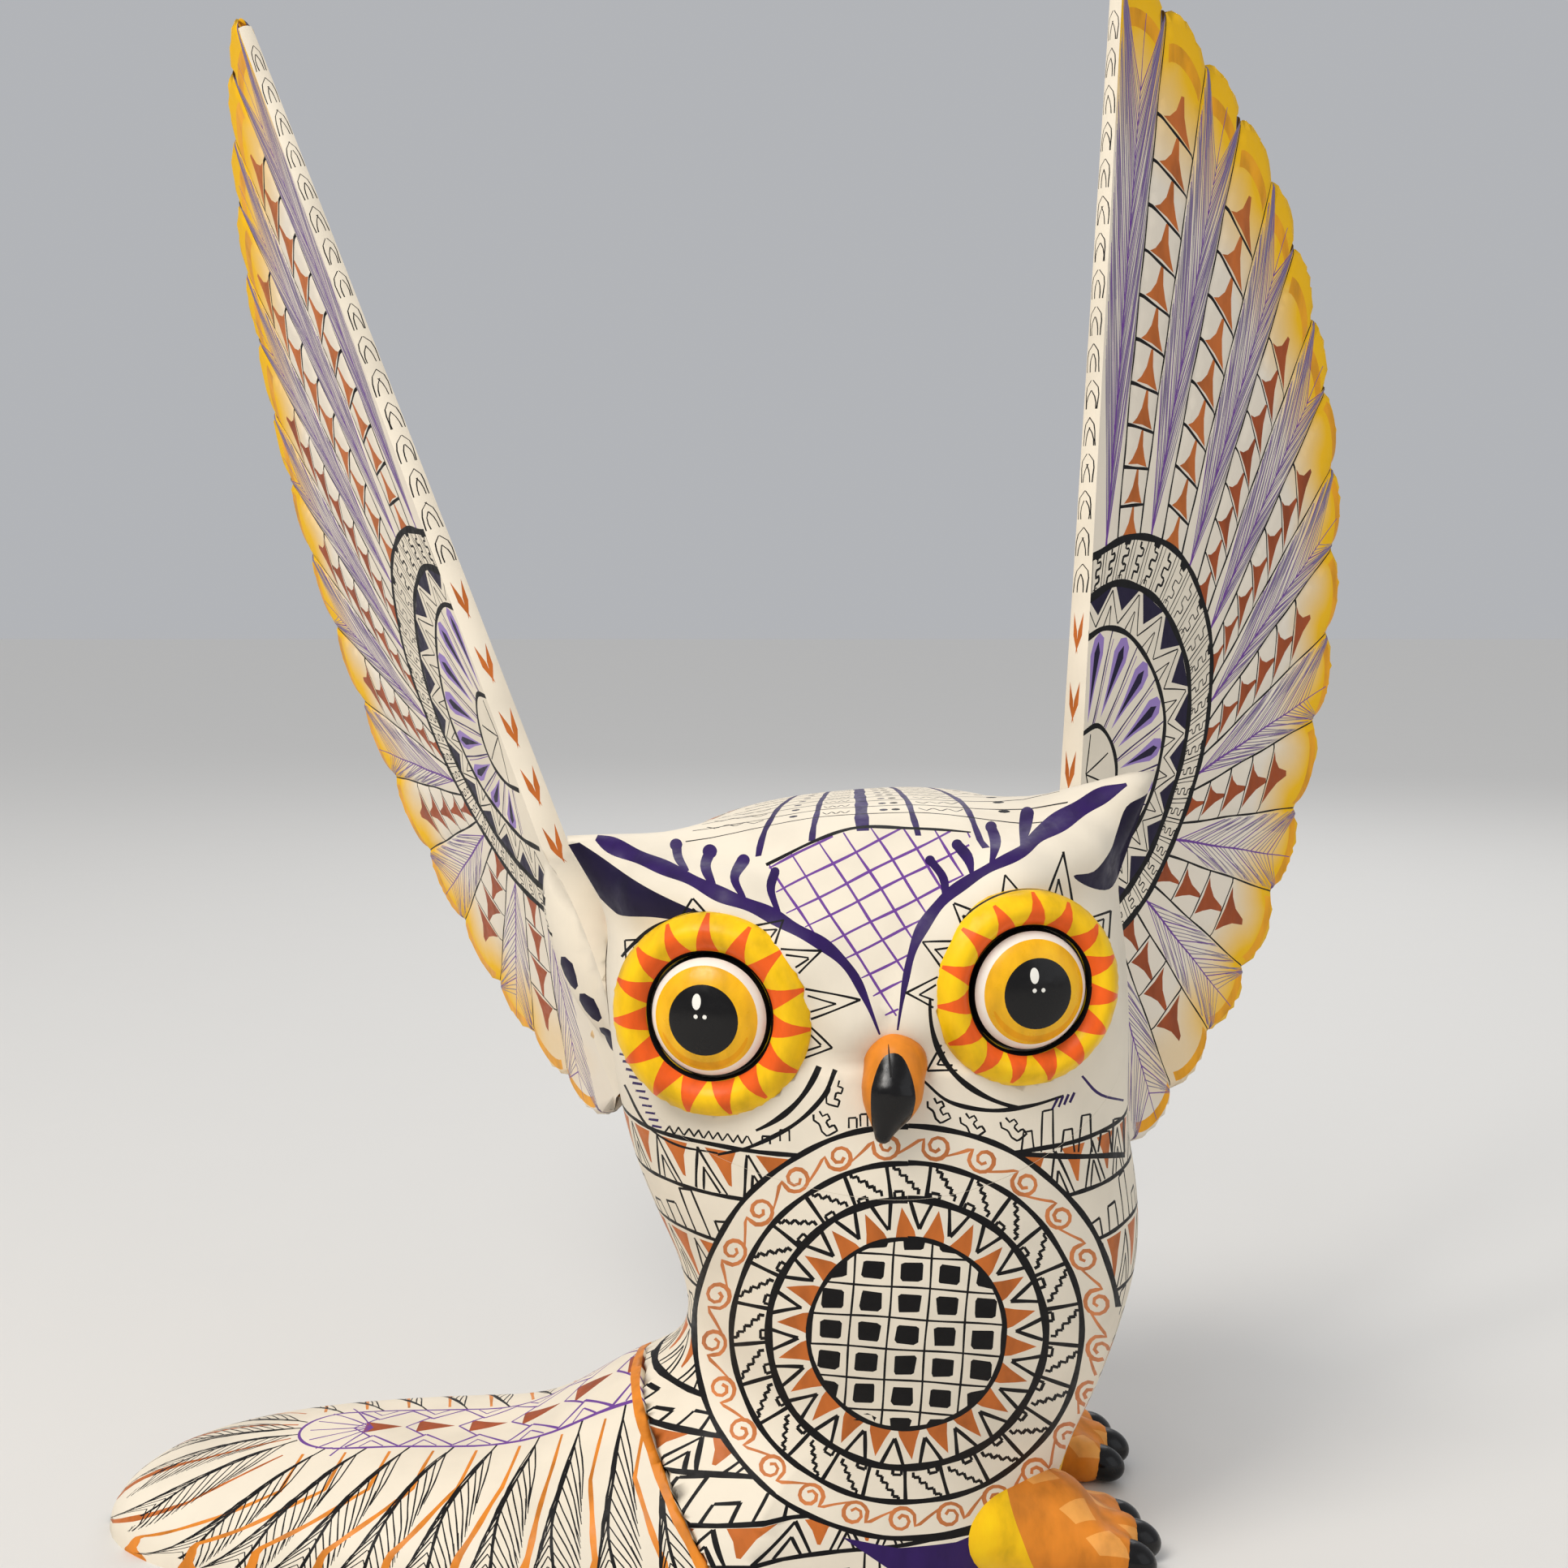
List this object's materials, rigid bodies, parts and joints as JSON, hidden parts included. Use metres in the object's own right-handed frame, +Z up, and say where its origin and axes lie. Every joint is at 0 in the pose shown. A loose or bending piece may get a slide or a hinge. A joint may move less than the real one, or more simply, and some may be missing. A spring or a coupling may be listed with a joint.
{
  "type": "painted wooden owl figure",
  "caption": "Carved and painted wooden owl standing with both wings raised; the wings unplug from sockets in its shoulders.",
  "frame": {"origin": "on the table, in the flat base under the belly, below the torso's axis", "axes": "+Z up; the face and breast look along -Y, the tail lies along -X and the toes point along +X"},
  "size_m": [0.3391, 0.2109, 0.3953],
  "materials": {
    "painted_body": "acrylic paint on carved wood, satin",
    "painted_head": "acrylic paint on carved wood, satin",
    "painted_tail": "acrylic paint on carved wood, satin",
    "painted_wing": "acrylic paint on carved wood, satin, yellow feather tips",
    "painted_foot": "orange acrylic paint, satin, black glossy claws",
    "eye_ring_paint": "yellow and orange acrylic paint, semi-gloss",
    "eyeball_gloss": "yellow iris and black pupil under gloss varnish",
    "beak_gloss": "black gloss paint with an orange base",
    "bare_wood": "bare turned softwood"
  },
  "bodies": {
    "owl": {"torso": "painted_body", "head": "painted_head", "tail": "painted_tail", "neck_dowel": "bare_wood", "tail_dowel_front": "bare_wood", "tail_dowel_back": "bare_wood", "leg_dowel_front": "bare_wood", "leg_dowel_back": "bare_wood", "foot_front": "painted_foot", "foot_back": "painted_foot", "eye_ring_left": "eye_ring_paint", "eye_ring_right": "eye_ring_paint", "eyeball_left": "eyeball_gloss", "eyeball_right": "eyeball_gloss", "beak": "beak_gloss"},
    "left_wing": {"wing_left": "painted_wing", "wing_peg_left_upper": "bare_wood", "wing_peg_left_lower": "bare_wood"},
    "right_wing": {"wing_right": "painted_wing", "wing_peg_right_upper": "bare_wood", "wing_peg_right_lower": "bare_wood"}
  },
  "joints": [
    {"name": "left_wing_pull", "type": "slide", "parent": "owl", "child": "left_wing", "axis": [-0.7574, 0.4199, 0.5], "range_m": [0, 0.04]},
    {"name": "right_wing_pull", "type": "slide", "parent": "owl", "child": "right_wing", "axis": [0.6824, 0.5332, 0.5], "range_m": [0, 0.04]}
  ]
}
